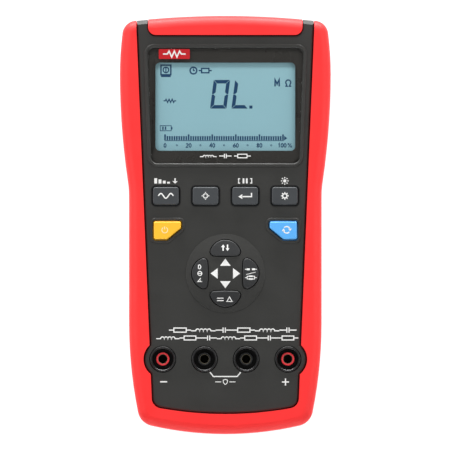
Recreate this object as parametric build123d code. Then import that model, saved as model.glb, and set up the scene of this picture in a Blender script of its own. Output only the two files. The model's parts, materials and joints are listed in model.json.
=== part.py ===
from build123d import *
import os

# Handheld LCR meter lying on its back, in millimetres.
# +X is to the right of the panel, +Y towards the display end, +Z out of the panel.
# The origin is under the middle of the meter, on the plane its feet stand on.

# ---------------------------------------------------------------- driving dimensions
TOP_Y = 95.7  # middle of the display end
BOTTOM_Y = -95.7  # middle of the socket end
HEAD_HALF = 48.25  # half width at the widest place, beside the display
HEAD_Y = 69.0
WAIST_HALF = 44.05  # half width of the straight part that the hand holds
WAIST_Y = (-45.0, 16.5)
HEAD_CORNER = (46.35, 92.9)
FOOT_CORNER = (38.9, -90.6)
HEAD_CORNER_R = 6.5
FOOT_CORNER_R = 8.0
WAIST_R = 45.0

FEET_Z = 0.0
BACK_Z = 1.0  # outside of the rear case
SPLIT_Z = 21.0  # where the two case halves meet
SHOULDER_Z = 35.5  # top of the hard case under the soft bumper
FACE_Z = 39.0  # front panel
BUMPER_Z = 40.2  # top of the soft bumper

SKIN = 2.6  # thickness of the soft bumper on the sides
WALL = 2.2  # thickness of the hard case
GROOVE = 0.4  # gap between panel edge and bumper
PARTING = 0.15  # half of the groove at the split line

PANEL_TOP = (40.55, 97.0)  # edge of the front panel: the sides are straight and taper
PANEL_FOOT = (33.05, -82.7)
PANEL_END_Y = -86.0
CAP_HALF = 35.2  # the soft cap between the horns
CAP_Y = 86.8
HORN_INSET = 0.2  # the horns' ends stand this far inside the bumper's outline
HORN_CHAMFER = 1.9

GRIP_Y = [-39.0 + 7.0 * i for i in range(8)]  # shallow upright grooves in the sides, for the hand
GRIP_Z = (9.5, 32.0)
GRIP_R = 1.6
GRIP_DEPTH = 0.6

PITCH = 19.05  # between neighbouring 4 mm sockets
SOCKET_Y = -61.3
SOCKET_X = [PITCH * i for i in (-1.5, -0.5, 0.5, 1.5)]
SOCKET_BUMP = 8.4  # radius of the panel's bulge round the outer sockets
LIP_R = 5.85
MOUTH_R = 4.85
SOCKET_FLANGE_R = 7.4
SOCKET_SEAT_Z = 35.2  # where the sockets' flanges bear on the case from behind
SLEEVE_R = 3.05
CONTACT_R = 2.5
BORE_R = 2.0  # for a 4 mm plug
CONTACT_Z = (14.0, 36.0)
CONTACT_FLOOR = 1.0

WINDOW_Y = (28.3, 80.8)
WINDOW_HALF = (33.8, 35.6)  # at the lower and at the upper edge
WINDOW_R = 3.0
BEAD_WIDTH = 1.8  # of the raised bead round the window
BEAD_RISE = 0.5
WINDOW_SEAT_Z = 37.1
WINDOW_UNDER_Z = 35.6  # underside of the ledge that carries the window
VIEW_SIZE = (63.9, 40.3)  # what the printed border leaves clear
VIEW_Y = 54.1
LEDGE_HOLE = (66.5, 42.7)

KEY_X = [18.1 * i for i in (-1.5, -0.5, 0.5, 1.5)]
KEY_Y = 13.3
KEY_HOLE = (13.3, 9.4)
KEY_SIZE = (11.9, 8.1)
COLOUR_KEY = [(-32.7, 1.6), (-20.2, 1.6), (-20.2, -1.4), (-26.5, -6.6), (-32.7, -6.6)]
COLOUR_GAP = 0.6
RIM_WIDTH = 1.7  # of the raised rim round each coloured key
RIM_RISE = 0.5
PAD_Y = -22.1
PAD_R = 18.0
PAD_RISE = 1.8
PAD_EDGE = 0.3
PAD_SPHERE_R = (PAD_R**2 + (PAD_RISE - PAD_EDGE) ** 2) / (2 * (PAD_RISE - PAD_EDGE))
KEY_TRAVEL = 1.0
KEY_TOP_Z = 40.3
KEY_GAP = 0.4
STEM_Z = 31.5
FLANGE_Z = (35.6, 36.7)

BOARD_Z = (28.4, 30.0)
MAT_Z = (30.05, 31.0)
COLLAR_Z = 34.3

BAY_Y = -33.0
BAY_SIZE = (52.0, 29.4)
BAY_TOP_Z = 22.2
BATTERY_SIZE = (46.0, 26.2, 17.2)
DOOR_Y = (-56.0, -15.5)
DOOR_HALF = 30.0
DOOR_SCREW_Y = -52.2

STAND_HALF = 26.8
STAND_Y = (-6.0, 62.0)
STAND_Z = (1.15, 3.7)
STAND_AXIS_Z = 3.2
STAND_RECESS_Z = 5.8
BARREL_R = 2.15
PIN_R = 1.25
NOTCH_Y = (-13.0, -6.4)
NOTCH_HALF = 10.0

CASE_SCREWS = [(33.0, 84.5), (32.5, 22.6), (26.0, -78.0)]
BOARD_SCREWS = [(14.0, 23.6), (14.0, -49.0)]
FEET = [(31.5, 73.0), (27.6, -66.5)]


# ---------------------------------------------------------------- helpers
def prism(face, low, high):
    """The flat face standing from one height to another."""
    return Pos(0, 0, low) * extrude(face, high - low, dir=(0, 0, 1))


def upward(sketch):
    """The flat face, turned so that it looks along +Z."""
    face = sketch.faces()[0]
    return face if face.normal_at().Z > 0 else -face


def disc(x, y, radius, low, high):
    """An upright cylinder."""
    return Pos(x, y, low) * Cylinder(radius, high - low, align=(Align.CENTER, Align.CENTER, Align.MIN))


def block(x, y, low, size):
    """A box centred on a point, standing on a height."""
    return Pos(x, y, low) * Box(*size, align=(Align.CENTER, Align.CENTER, Align.MIN))


def rounded(face, corners):
    """The face with the corner nearest each point, and its mirror image, rounded."""
    for (x, y), radius in corners:
        near = [face.vertices().sort_by_distance((side * x, y, 0))[0] for side in (1, -1)]
        face = fillet(near, radius)
    return face


def closed(right_side, *across):
    """A flat face from the edges of its right side and the edges that cross the middle."""
    edges = Curve() + [*across, *right_side]
    edges += [mirror(edge, about=Plane.YZ) for edge in right_side]
    return upward(make_face(edges))


def mirrored(points):
    """Each point and its mirror image."""
    return [(side * x, y) for x, y in points for side in (-1, 1)]


def edges_at(solid, height, tolerance=0.01):
    """The edges of a solid that lie flat at a height."""
    return solid.edges().filter_by(lambda e: all(abs(v.Z - height) < tolerance for v in e.vertices())
                                   and abs(e.center().Z - height) < tolerance)


def write(name, *solids):
    """One node: a STEP file of one or more separate solids."""
    found = [s for shape in solids for s in shape.solids()]
    export_step(found[0] if len(found) == 1 else Compound(children=found), f"parts/{name}.step")


# ---------------------------------------------------------------- outlines
def body_outline(inset=0.0):
    """The meter's outline from the front, or a smaller one the same distance inside it all round."""
    head, waist = (HEAD_HALF, HEAD_Y), (WAIST_HALF, WAIST_Y[1])
    grip = (WAIST_HALF, WAIST_Y[0])
    side = [
        TangentArc([head, HEAD_CORNER], tangent=(0, 1)),
        TangentArc([head, waist], tangent=(0, -1)),
        Line(waist, grip),
        TangentArc([grip, FOOT_CORNER], tangent=(0, -1)),
    ]
    top = ThreePointArc(HEAD_CORNER, (0, TOP_Y), (-HEAD_CORNER[0], HEAD_CORNER[1]))
    foot = ThreePointArc(FOOT_CORNER, (0, BOTTOM_Y), (-FOOT_CORNER[0], FOOT_CORNER[1]))
    face = closed(side, top, foot)
    if inset:
        face = offset(face, -inset, kind=Kind.INTERSECTION)
    return rounded(face, [(HEAD_CORNER, HEAD_CORNER_R - inset), (FOOT_CORNER, FOOT_CORNER_R - inset),
                          (waist, WAIST_R + inset)])


def panel_outline(grow=0.0, bumps=True):
    """The front panel's outline, open past the display end, with a bulge round each outer socket."""
    side = [Line(PANEL_TOP, PANEL_FOOT)]
    top = Line(PANEL_TOP, (-PANEL_TOP[0], PANEL_TOP[1]))
    foot = ThreePointArc(PANEL_FOOT, (0, PANEL_END_Y), (-PANEL_FOOT[0], PANEL_FOOT[1]))
    face = closed(side, top, foot)
    if grow:
        face = offset(face, grow, kind=Kind.INTERSECTION)
    face = rounded(face, [(PANEL_FOOT, 4.3 + grow)])
    if bumps:
        for x in (SOCKET_X[0], SOCKET_X[-1]):
            face += Pos(x, SOCKET_Y) * Circle(SOCKET_BUMP + grow)
    return face


def cap_outline(grow=0.0):
    """The soft cap's outline, open past the display end."""
    low, high = CAP_Y - grow, TOP_Y + 10
    face = Pos(0, (low + high) / 2) * Rectangle(2 * (CAP_HALF + grow), high - low)
    return rounded(face, [((CAP_HALF, CAP_Y), 3.5 + grow)])


def window_outline(grow=0.0):
    """The display window's outline, wider at the top."""
    low, high = WINDOW_Y
    corners = [(-WINDOW_HALF[0], low), (WINDOW_HALF[0], low), (WINDOW_HALF[1], high), (-WINDOW_HALF[1], high)]
    face = rounded(make_face(Polyline(*corners, close=True)),
                   [((WINDOW_HALF[0], low), WINDOW_R), ((WINDOW_HALF[1], high), WINDOW_R)])
    return offset(face, grow) if grow else face


def colour_key_outline(side, grow=0.0):
    """A rectangle with one lower corner cut off, on the left (-1) or right (1) of the panel."""
    anticlockwise = [(-side * x, y) for x, y in COLOUR_KEY][::side]
    face = make_face(Polyline(*anticlockwise, close=True))
    face = fillet(face.vertices(), 0.8)
    return offset(face, grow) if grow else face


def pad_key_outline(quarter, grow=0.0):
    """A D shape above the middle of the pad, turned by quarter turns."""
    low, bow, high, half = 8.0, 7.5, 15.7, 7.6
    inner = ThreePointArc((-half, low), (0, bow), (half, low))
    outer = ThreePointArc((half, low), (0, high), (-half, low))
    face = upward(make_face(Curve() + [inner, outer]))
    face = rounded(face, [((half, low), 2.2)])
    if grow:
        face = offset(face, grow)
    return Pos(0, PAD_Y) * Rot(0, 0, 90 * quarter) * face


def rectangle_key_outline(x, size, radius):
    return Pos(x, KEY_Y) * RectangleRounded(*size, radius)


def pad_sphere(grow=0.0):
    """The ball whose cap is the domed pad."""
    return Pos(0, PAD_Y, FACE_Z + PAD_RISE - PAD_SPHERE_R) * Sphere(PAD_SPHERE_R + grow)


# ---------------------------------------------------------------- casing
def bumper_body():
    """The whole outside of the front half, with its front edge rounded over."""
    solid = prism(body_outline(), SPLIT_Z + PARTING, BUMPER_Z)
    solid = fillet(edges_at(solid, BUMPER_Z), 4.5)
    return chamfer(edges_at(solid, SPLIT_Z + PARTING), 0.4)


def front_core():
    """The hard front half under the bumper."""
    return prism(body_outline(SKIN), SPLIT_Z, SHOULDER_Z)


def panel_body():
    """The hard front half inside the panel's edge, up to the face and out to the display end."""
    inside = panel_outline() & body_outline(HORN_INSET)
    solid = prism(inside, SPLIT_Z, FACE_Z)
    end = [e for e in edges_at(solid, FACE_Z) if e.center().Y > 92]
    solid = chamfer(end, HORN_CHAMFER)
    return fillet([e for e in edges_at(solid, FACE_Z) if e.center().Y < 92 - HORN_CHAMFER], 0.9)


def cap_space(grow=0.0):
    """Where the soft cap sits: over the shoulder and down the end wall."""
    return prism(cap_outline(grow), 30.0, BUMPER_Z + 5) - front_core()


def front_cavity():
    low = prism(body_outline(SKIN + WALL), SPLIT_Z - 1, SHOULDER_Z - WALL)
    inner = panel_outline(-WALL) & Pos(0, (CAP_Y - WALL) / 2 - 50) * Rectangle(100, CAP_Y - WALL + 100)
    high = prism(inner, SHOULDER_Z - WALL - 0.5, FACE_Z - WALL)
    ledge = prism(window_outline(1.5), WINDOW_UNDER_Z, FACE_Z)
    return low + (high - ledge)


def front_bosses():
    """Pillars that take the case screws from behind, and short ones that carry the board."""
    tall = [disc(x, y, 3.2, SPLIT_Z, (SHOULDER_Z if y > WINDOW_Y[1] else FACE_Z) - 1)
            for x, y in mirrored(CASE_SCREWS)]
    short = [disc(x, y, 2.6, BOARD_Z[1], FACE_Z - 1) for x, y in mirrored(BOARD_SCREWS)]
    return tall + short


def screw_holes():
    tall = [disc(x, y, 1.3, SPLIT_Z - 1, 33.0) for x, y in mirrored(CASE_SCREWS)]
    short = [disc(x, y, 0.9, BOARD_Z[1] - 1, 34.5) for x, y in mirrored(BOARD_SCREWS)]
    return tall + short


def key_holes():
    """Openings in the panel for every key, its outline a little larger than the key."""
    low, high = FACE_Z - 4, FACE_Z + 5
    holes = [prism(rectangle_key_outline(x, KEY_HOLE, 1.7), low, high) for x in KEY_X]
    holes += [prism(colour_key_outline(side, COLOUR_GAP), low, high) for side in (-1, 1)]
    holes += [prism(pad_key_outline(q), low, high) for q in range(4)]
    return holes


def front_case():
    solid = panel_body() - cap_space(0.35)
    round_cap = [e for e in edges_at(solid, FACE_Z) if abs(e.center().X) < CAP_HALF + 0.5 and e.center().Y > 80]
    solid = chamfer(round_cap, 0.35)
    solid = solid + front_core() - front_cavity()
    bead = prism(window_outline(BEAD_WIDTH), FACE_Z - 1, FACE_Z + BEAD_RISE)
    bead = fillet(edges_at(bead, FACE_Z + BEAD_RISE), 0.42)
    bead = bead - Pos(0, 0, FACE_Z - 0.2) * extrude(window_outline(), 1.0, taper=-38)
    rims = [prism(colour_key_outline(side, RIM_WIDTH), FACE_Z - 1, FACE_Z + RIM_RISE) for side in (-1, 1)]
    rims = [fillet(edges_at(rim, FACE_Z + RIM_RISE), 0.4) for rim in rims]
    dome = pad_sphere() & disc(0, PAD_Y, PAD_R, FACE_Z - 1, FACE_Z + 3)
    for piece in [bead, dome, *rims, *front_bosses()]:
        solid = solid + piece
    solid = solid - prism(window_outline(), WINDOW_SEAT_Z, FACE_Z + 3)
    solid = solid - block(0, VIEW_Y, FACE_Z - 6, (*LEDGE_HOLE, 6))
    for x in SOCKET_X:
        solid = solid + disc(x, SOCKET_Y, 8.0, SOCKET_SEAT_Z, FACE_Z - 1)
        solid = solid - disc(x, SOCKET_Y, SOCKET_FLANGE_R + 0.2, SPLIT_Z, SOCKET_SEAT_Z)
        solid = solid - disc(x, SOCKET_Y, LIP_R + 0.35, FACE_Z - 4, FACE_Z + 3)
    for hole in [*key_holes(), *screw_holes()]:
        solid = solid - hole
    port = Pos(0, TOP_Y - 6, USB_Z) * Box(USB_SIZE[0] + 0.5, 20, USB_SIZE[2] + 0.5)
    return solid - port


USB_SIZE = (7.7, 9.2, 3.9)
USB_Z = BOARD_Z[0] - USB_SIZE[2] / 2


def grip_grooves():
    """Round-bottomed upright grooves along both sides."""
    low, high = GRIP_Z
    tools = []
    for x in (-1, 1):
        for y in GRIP_Y:
            place = Pos(x * (WAIST_HALF + GRIP_R - GRIP_DEPTH), y, 0)
            tools.append(place * disc(0, 0, GRIP_R, low, high))
            tools += [place * Pos(0, 0, z) * Sphere(GRIP_R) for z in (low, high)]
    return tools


def front_bumper():
    """The soft rim down both sides and round the socket end."""
    solid = bumper_body() - front_core()
    solid = solid - prism(panel_outline(GROOVE), SPLIT_Z - 1, BUMPER_Z + 5)
    return solid - grip_grooves()


def top_bumper():
    return bumper_body() & cap_space()


def rear_core():
    return prism(body_outline(SKIN), 4.5, SPLIT_Z)


def rear_panel():
    """The hard back inside the soft rim, out to the display end."""
    inside = panel_outline(bumps=False) & body_outline(0.5)
    solid = prism(inside, BACK_Z, SPLIT_Z)
    end = [e for e in edges_at(solid, BACK_Z) if e.center().Y > 92]
    solid = fillet(end, 4.0)
    return fillet(edges_at(solid, BACK_Z), 0.8)


def rear_bumper():
    solid = prism(body_outline(), BACK_Z - 0.3, SPLIT_Z - PARTING)
    solid = fillet(edges_at(solid, BACK_Z - 0.3), 4.5)
    solid = chamfer(edges_at(solid, SPLIT_Z - PARTING), 0.4)
    solid = solid - rear_core()
    solid = solid - prism(panel_outline(GROOVE, bumps=False), -1, SPLIT_Z + 1)
    return solid - grip_grooves()


def stand_recess(grow=0.0):
    """The hollow in the back that the folded stand lies in, and the finger notch at its free end."""
    low, high = STAND_Y[0] - 0.4 - grow, STAND_Y[1] + 2.9 + grow
    half, depth = STAND_HALF + 0.4 + grow, STAND_RECESS_Z + grow
    face = Pos(0, (low + high) / 2) * Rectangle(2 * half, high - low)
    recess = prism(rounded(face, [((half, low), 5.0)]), -1, depth)
    notch_low = NOTCH_Y[0] - grow
    notch = Pos(0, (notch_low + low + 2) / 2) * Rectangle(2 * (NOTCH_HALF + grow), low + 2 - notch_low)
    return recess + prism(rounded(notch, [((NOTCH_HALF + grow, notch_low), 3.0)]), -1, depth)


def rear_case():
    bay = (*BAY_SIZE, BAY_TOP_Z - BACK_Z)
    bay_wall = (BAY_SIZE[0] + 2 * 1.6, BAY_SIZE[1] + 2 * 1.6, BAY_TOP_Z + 1.6 - BACK_Z)
    cavity = prism(body_outline(SKIN + WALL), BACK_Z + WALL + 2, SPLIT_Z + 1)
    cavity += prism(panel_outline(-WALL, bumps=False) & body_outline(SKIN + WALL),
                    BACK_Z + WALL, BACK_Z + WALL + 3)
    cavity = cavity - stand_recess(2.0)
    solid = rear_panel() + rear_core() - cavity
    solid = solid + block(0, BAY_Y, BACK_Z + 1, (bay_wall[0], bay_wall[1], bay_wall[2] - 1))
    door_depth = BACK_Z + WALL
    ledge_y = sum(DOOR_Y) / 2
    solid = solid + block(0, ledge_y, BACK_Z + 1, (2 * DOOR_HALF + 4, DOOR_Y[1] - DOOR_Y[0] + 4, WALL + 1))
    for x, y in mirrored(CASE_SCREWS):
        solid = solid + disc(x, y, 3.7, BACK_Z + 1, SPLIT_Z)
    solid = solid + disc(0, DOOR_SCREW_Y, 3.0, BACK_Z + 1, 13.0)
    solid = solid - stand_recess()
    solid = solid - block(0, BAY_Y, 0, (bay[0], bay[1], BAY_TOP_Z))
    solid = solid - prism(door_outline(), -1, door_depth)
    solid = solid - disc(0, DOOR_SCREW_Y, 1.3, 0, 11.5)
    notch = block(BAY_SIZE[0] / 2 + 1.5, BAY_Y, 15.5, (4, 10, 10))
    solid = solid - notch
    for x, y in mirrored(CASE_SCREWS):
        solid = solid - disc(x, y, 2.9, 0, 8.0) - disc(x, y, 1.6, 0, SPLIT_Z + 1)
    for x, y in mirrored(FEET):
        solid = solid - disc(x, y, 5.1, 0, BACK_Z + 0.8)
    axle = Pos(0, STAND_Y[1], STAND_AXIS_Z) * Rot(0, 90, 0) * Cylinder(PIN_R, 2 * 30.0)
    return solid - axle


def door_outline(grow=0.0):
    low, high = DOOR_Y
    return Pos(0, (low + high) / 2) * RectangleRounded(2 * (DOOR_HALF + grow), high - low + 2 * grow, 2.5 + grow)


# ---------------------------------------------------------------- display
def view_cut(low, high):
    return prism(Pos(0, VIEW_Y) * RectangleRounded(*VIEW_SIZE, 2.0), low, high)


def display():
    ledge_hole = block(0, VIEW_Y, WINDOW_SEAT_Z - 1, (*LEDGE_HOLE, 5))
    gasket_z, mask_z, lens_z, badge_z = 37.25, 37.35, 38.7, 38.85
    outline = window_outline(-0.12)
    lens = prism(outline, mask_z, lens_z)
    lens = fillet(edges_at(lens, lens_z), 0.3)
    write("window_gasket", prism(window_outline(-0.4), WINDOW_SEAT_Z, gasket_z) - ledge_hole)
    write("window_mask", prism(outline, gasket_z, mask_z) - view_cut(gasket_z - 1, mask_z + 1))
    write("display_window", lens)
    write("nameplate", prism(Pos(-23.3, 78.1) * RectangleRounded(14.2, 4.5, 0.5), lens_z, badge_z))

    glass_size, light_size = (67.0, 44.0), (66.8, 39.0)
    glass_z, light_z = (33.0, 35.2), (30.3, 32.9)
    holder = block(0, VIEW_Y, BOARD_Z[1], (70.0, 49.5, 5.5))
    holder = fillet(holder.edges().filter_by(Axis.Z), 1.0)
    holder = holder - block(0, VIEW_Y, BOARD_Z[1] - 1, (glass_size[0] + 0.4, glass_size[1] + 0.4, 9))
    write("lcd_holder", holder)
    write("lcd_glass", block(0, VIEW_Y, glass_z[0], (*glass_size, glass_z[1] - glass_z[0])))
    write("backlight_panel", block(0, VIEW_Y, light_z[0], (*light_size, light_z[1] - light_z[0])))
    strip = (62.0, 1.8, glass_z[0] - BOARD_Z[1])
    write("elastomer_connectors",
          *[block(0, VIEW_Y + side * 20.8, BOARD_Z[1], strip) for side in (-1, 1)])


# ---------------------------------------------------------------- keys
def key(cap_face, flange_face, stem_at, top_z, taper=4):
    """A key: tapered cap, flange that keeps it behind the panel, and stem down to its contact."""
    shaft = prism(cap_face, FLANGE_Z[0], FACE_Z)
    cap = Pos(0, 0, FACE_Z - 0.001) * extrude(cap_face, top_z - FACE_Z, taper=taper)
    cap = fillet(edges_at(cap, top_z), 0.45)
    return shaft + cap + prism(flange_face, *FLANGE_Z) + disc(*stem_at, 2.3, STEM_Z, FLANGE_Z[0] + 0.5)


def pad_key(quarter):
    """A key of the round pad, its top a little proud of the dome and curved like it."""
    cap = prism(pad_key_outline(quarter, -KEY_GAP), FLANGE_Z[0], FACE_Z + 4) & pad_sphere(0.65)
    top = cap.faces().sort_by(Axis.Z)[-1]
    cap = fillet(top.edges(), 0.4)
    stem = Pos(0, PAD_Y) * Rot(0, 0, 90 * quarter) * Pos(0, 11.4)
    return (cap + prism(pad_key_outline(quarter, 0.7), *FLANGE_Z)
            + disc(stem.position.X, stem.position.Y, 2.3, STEM_Z, FLANGE_Z[0] + 0.5))


KEY_NAMES = ["frequency_key", "calibration_key", "enter_key", "setup_key"]
PAD_NAMES = ["up_key", "left_key", "down_key", "right_key"]
STEMS = ([(x, KEY_Y) for x in KEY_X] + [(side * 27.2, -2.2) for side in (-1, 1)]
         + [(0, PAD_Y + 11.4), (-11.4, PAD_Y), (0, PAD_Y - 11.4), (11.4, PAD_Y)])


def keypad():
    for name, x in zip(KEY_NAMES, KEY_X):
        cap = rectangle_key_outline(x, KEY_SIZE, 1.3)
        write(name, key(cap, rectangle_key_outline(x, (14.2, 10.6), 2.0), (x, KEY_Y), KEY_TOP_Z))
    for name, side, stem in zip(["power_key", "function_key"], (-1, 1), STEMS[4:6]):
        write(name, key(colour_key_outline(side), colour_key_outline(side, COLOUR_GAP + 0.6), stem, KEY_TOP_Z + 0.2))
    for quarter, name in enumerate(PAD_NAMES):
        write(name, pad_key(quarter))

    low, high, half = -41.0, 20.0, 31.5
    mat = block(0, (low + high) / 2, MAT_Z[0], (2 * half, high - low, MAT_Z[1] - MAT_Z[0]))
    mat = fillet(mat.edges().filter_by(Axis.Z), 3.0)
    for x, y in STEMS:
        mat = mat + disc(x, y, 4.3, MAT_Z[0], COLLAR_Z)
    for x, y in STEMS:
        mat = mat - disc(x, y, 3.3, MAT_Z[0] - 1, COLLAR_Z + 1)
    write("keypad_mat", mat)
    write("key_contacts", *[disc(x, y, 2.4, BOARD_Z[1], BOARD_Z[1] + 0.3) for x, y in STEMS])


# ---------------------------------------------------------------- sockets
SOCKET_NAMES = ["minus", "guard_left", "guard_right", "plus"]


def sockets():
    """Shrouded 4 mm sockets: shroud in the panel, insulating sleeve, and contact tube through the board."""
    for name, x in zip(SOCKET_NAMES, SOCKET_X):
        lip_z = FACE_Z + 0.5
        lip = disc(x, SOCKET_Y, LIP_R, 30.3, lip_z)
        lip = fillet(edges_at(lip, lip_z), 0.4)
        lip = lip + disc(x, SOCKET_Y, SOCKET_FLANGE_R, SOCKET_SEAT_Z - 1.6, SOCKET_SEAT_Z)
        lip = lip - disc(x, SOCKET_Y, MOUTH_R, 31.5, lip_z + 1)
        lip = chamfer(edges_at(lip, lip_z).sort_by(lambda e: e.radius)[0], 0.3)
        write(f"socket_shroud_{name}", lip - disc(x, SOCKET_Y, SLEEVE_R, 30, 32))

        sleeve_z = (BOARD_Z[1] + 0.2, 37.2)
        sleeve = disc(x, SOCKET_Y, SLEEVE_R, *sleeve_z)
        sleeve = sleeve - disc(x, SOCKET_Y, CONTACT_R, sleeve_z[0] - 1, CONTACT_Z[1])
        sleeve = sleeve - disc(x, SOCKET_Y, BORE_R + 0.2, CONTACT_Z[1] - 1, sleeve_z[1] + 1)
        write(f"socket_sleeve_{name}", fillet(edges_at(sleeve, sleeve_z[1]), 0.3))

        tube = disc(x, SOCKET_Y, CONTACT_R, *CONTACT_Z) + disc(x, SOCKET_Y, 3.6, BOARD_Z[0] - 0.6, BOARD_Z[0])
        write(f"socket_contact_{name}",
              tube - disc(x, SOCKET_Y, BORE_R, CONTACT_Z[0] + CONTACT_FLOOR, CONTACT_Z[1] + 1))


# ---------------------------------------------------------------- electronics
def chip(x, y, size, thickness, pins):
    """A flat package under the board with a row of leads on each long side."""
    top = BOARD_Z[0]
    body = chamfer(block(x, y, top - thickness, (size[0], size[1], thickness - 0.15)).edges(), 0.12)
    pitch = size[0] / pins
    for row in (-1, 1):
        for i in range(pins):
            lead_x = x + (i - (pins - 1) / 2) * pitch
            lead_y = y + row * (size[1] / 2 + 0.4)
            body = body + block(lead_x, lead_y, top - 0.5, (pitch * 0.5, 1.2, 0.5))
    return body


def electronics():
    corners = [(33.0, -72.0), (36.2, 79.5), (29.0, 88.5)]
    left = [(-x, y) for x, y in reversed(corners)]
    board = prism(make_face(Polyline(*corners, *left, close=True)), *BOARD_Z)
    for x, y in mirrored(CASE_SCREWS):
        board = board - disc(x, y, 4.0, BOARD_Z[0] - 1, BOARD_Z[1] + 1)
    for x, y in mirrored(BOARD_SCREWS):
        board = board - disc(x, y, 1.2, BOARD_Z[0] - 1, BOARD_Z[1] + 1)
    for x in SOCKET_X:
        board = board - disc(x, SOCKET_Y, CONTACT_R + 0.1, BOARD_Z[0] - 1, BOARD_Z[1] + 1)
    write("main_board", board)

    write("measuring_chip", chip(0, 4, (12, 8), 1.4, 12))
    write("controller_chip", chip(0, 44, (14, 14), 1.6, 16))
    shield = block(0, -6, BOARD_Z[0] - 3.4, (30, 34, 3.4)) - block(0, -6, BOARD_Z[0] - 3.1, (29.4, 33.4, 4))
    write("shield_can", shield)
    can = fillet(block(15, 44, BOARD_Z[0] - 3.5, (4.7, 11, 3.5)).edges().filter_by(Axis.Z), 2.0)
    write("crystal", can)
    tops = [(-20, 62), (-20, 50), (22, 62)]
    write("electrolytic_capacitors", *[disc(x, y, 3.1, BOARD_Z[0] - 5.4, BOARD_Z[0]) for x, y in tops])
    rows = [(x, y) for x in (-26, 26) for y in (-2, 6, 14)]
    resistors = [Pos(x, y, BOARD_Z[0] - 1.3) * Rot(0, 90, 0) * Cylinder(1.2, 6.0) for x, y in rows]
    write("range_resistors", *[fillet(r.edges(), 0.4) for r in resistors])
    write("input_fuses", *[disc(x, SOCKET_Y + 8.5, 3.0, BOARD_Z[0] - 4.0, BOARD_Z[0] - 0.2)
                           for x in (SOCKET_X[0], SOCKET_X[-1])])
    buzzer = disc(-16, 76, 6.0, BOARD_Z[0] - 4.5, BOARD_Z[0]) - disc(-16, 76, 1.0, BOARD_Z[0] - 5, BOARD_Z[0] - 1)
    write("buzzer", buzzer)
    shell = Pos(0, TOP_Y - 1.5 - USB_SIZE[1] / 2, USB_Z) * Box(*USB_SIZE)
    mouth = Pos(0, TOP_Y - 1.5 - USB_SIZE[1] / 2 + 2, USB_Z) * Box(USB_SIZE[0] - 0.8, USB_SIZE[1], USB_SIZE[2] - 0.8)
    tongue = Pos(0, TOP_Y - 6.5, USB_Z) * Box(5.0, 7.0, 0.9)
    write("usb_socket", shell - mouth + tongue)


# ---------------------------------------------------------------- battery
def battery():
    x, low = -2.0, BACK_Z + WALL + 1.2
    length, width, height = BATTERY_SIZE
    cell = fillet(block(x, BAY_Y, low, BATTERY_SIZE).edges().filter_by(Axis.X), 2.0)
    end = x + length / 2
    posts = [Pos(end + 1.2, BAY_Y + side * 6.4, low + height / 2) * Rot(0, 90, 0) * Cylinder(2.8, 2.4)
             for side in (-1, 1)]
    write("battery", cell + posts[0] + posts[1])
    snap = Pos(end + 1.8, BAY_Y, low + height / 2) * Box(3.2, width - 1.5, 11.5)
    for side in (-1, 1):
        snap = snap - Pos(end + 1.0, BAY_Y + side * 6.4, low + height / 2) * Rot(0, 90, 0) * Cylinder(2.85, 3.0)
    write("battery_snap", snap)
    wires = []
    for side in (-1, 1):
        y, start, exit_z = BAY_Y + 3 * side, end + 3.4, 16.8
        path = FilletPolyline((start, y, exit_z), (30.0, y, exit_z), (30.0, y, BOARD_Z[0]), radius=2.5)
        wires.append(sweep(Plane(origin=(start, y, exit_z), z_dir=(1, 0, 0)) * Circle(0.65), path=path))
    write("battery_leads", *wires)
    write("battery_pad", block(x, BAY_Y, BACK_Z + WALL + 0.05, (36, 18, 1.1)))


def battery_cover():
    plate_z = (BACK_Z, BACK_Z + WALL - 0.05)
    cover = prism(door_outline(-0.25), *plate_z)
    cover = chamfer(edges_at(cover, plate_z[0]), 0.4)
    for i in range(5):
        groove = block(0, DOOR_Y[1] - 5.0 - 1.6 * i, 0, (18 - 2 * i, 0.7, BACK_Z + 0.4))
        cover = cover - groove
    cover = cover - disc(0, DOOR_SCREW_Y, 2.7, 0, BACK_Z + 1.2) - disc(0, DOOR_SCREW_Y, 1.4, 0, 9)
    write("battery_cover", cover)
    write("battery_cover_screw", screw(0, DOOR_SCREW_Y, 2.5, 1.15, (BACK_Z + 0.1, BACK_Z + 1.2, 9.5)))


def screw(x, y, head_r, shank_r, heights):
    """A cross-head screw driven upwards: underside of head, top of head, tip."""
    head, seat, tip = heights
    solid = disc(x, y, head_r, head, seat) + disc(x, y, shank_r, seat, tip)
    depth = min(1.4, (seat - head) * 0.8)
    for size in [(head_r * 1.3, 0.6, depth), (0.6, head_r * 1.3, depth)]:
        solid = solid - block(x, y, head - 0.01, size)
    return solid


# ---------------------------------------------------------------- stand, fasteners, feet
def tilt_stand():
    low, high = STAND_Y
    plate = Pos(0, (low + high) / 2) * Rectangle(2 * STAND_HALF, high - low)
    plate = prism(rounded(plate, [((STAND_HALF, low), 4.5)]), *STAND_Z)
    plate = chamfer(edges_at(plate, STAND_Z[0]).filter_by(lambda e: e.center().Y < high - 1), 0.4)
    rib = (2.2, high - low - 14, STAND_RECESS_Z - STAND_Z[1] - 0.7)
    for x in (-18, 0, 18):
        plate = plate + block(x, (low + high) / 2, STAND_Z[1] - 0.1, rib)
    for row in range(4):
        plate = plate - block(0, low + 4 + 2.0 * row, 0, (24 - 3 * row, 0.8, STAND_Z[0] + 0.5))
    barrel = Pos(0, high, STAND_AXIS_Z) * Rot(0, 90, 0) * Cylinder(BARREL_R, 2 * STAND_HALF)
    bore = Pos(0, high, STAND_AXIS_Z) * Rot(0, 90, 0) * Cylinder(PIN_R + 0.05, 2 * STAND_HALF + 4)
    write("tilt_stand", plate + barrel - bore)
    write("stand_hinge_pin",
          Pos(0, high, STAND_AXIS_Z) * Rot(0, 90, 0) * Cylinder(PIN_R, 2 * 29.8))


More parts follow.
